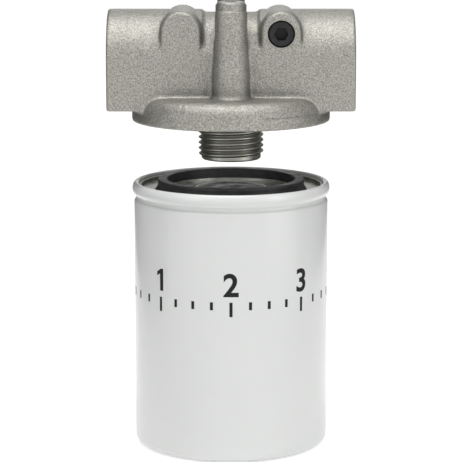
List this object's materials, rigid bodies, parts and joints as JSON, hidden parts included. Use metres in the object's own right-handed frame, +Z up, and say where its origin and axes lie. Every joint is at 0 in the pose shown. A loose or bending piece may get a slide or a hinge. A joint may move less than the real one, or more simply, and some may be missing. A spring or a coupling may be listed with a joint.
{
  "type": "return line filter",
  "caption": "Hydraulic return line filter: cast in-line head with bypass valve and stub, spin-on can with pleated element, shown unscrewed.",
  "frame": {"origin": "middle of the two mounting holes, on the post tops", "axes": "+Z up along the can's axis, away from the can; +X along the ports towards the inlet; -Y is the front with the gauge plug"},
  "size_m": [0.0952, 0.0774, 0.1754],
  "materials": {
    "cast_aluminium": "fine sand-blasted die casting",
    "black_plug": "black oxide",
    "machined_steel": "turned and pressed steel",
    "spring_steel": "drawn spring wire",
    "white_paint": "satin gloss white",
    "lid_steel": "bare pressed steel",
    "black_rubber": "moulded nitrile rubber",
    "filter_paper": "resin-treated paper"
  },
  "bodies": {
    "head": {"head_casting": "cast_aluminium", "gauge_plug": "black_plug", "bypass_spring": "spring_steel", "spring_retainer": "machined_steel", "retaining_ring": "spring_steel"},
    "bypass": {"bypass_poppet": "machined_steel"},
    "element": {"cartridge_seal": "black_rubber", "upper_end_cap": "lid_steel", "lower_end_cap": "lid_steel", "centre_tube": "lid_steel", "pleated_media": "filter_paper", "media_seam_clip": "lid_steel", "support_spring": "spring_steel"},
    "can": {"can_shell": "white_paint", "seam_lid": "lid_steel", "threaded_plate": "machined_steel", "sealing_gasket": "black_rubber"}
  },
  "joints": [
    {"name": "bypass_lift", "type": "slide", "parent": "head", "child": "bypass", "axis": [-1, 0, 0], "range_m": [0, 0.005], "stiffness_N_per_m": 2500, "springref_m": -0.004, "deforming": ["bypass_spring"]},
    {"name": "can_travel", "type": "slide", "parent": "head", "child": "element", "axis": [0, 0, 1], "range_m": [0, 0.02279]},
    {"name": "can_turn", "type": "hinge", "parent": "element", "child": "can", "pos_m": [0, 0, -0.0702], "axis": [0, 0, 1], "range_deg": [0, 3876]}
  ],
  "couplings": [
    {"joint": "can_travel", "follows": "can_turn", "m_per_rad": 0.00033688}
  ]
}
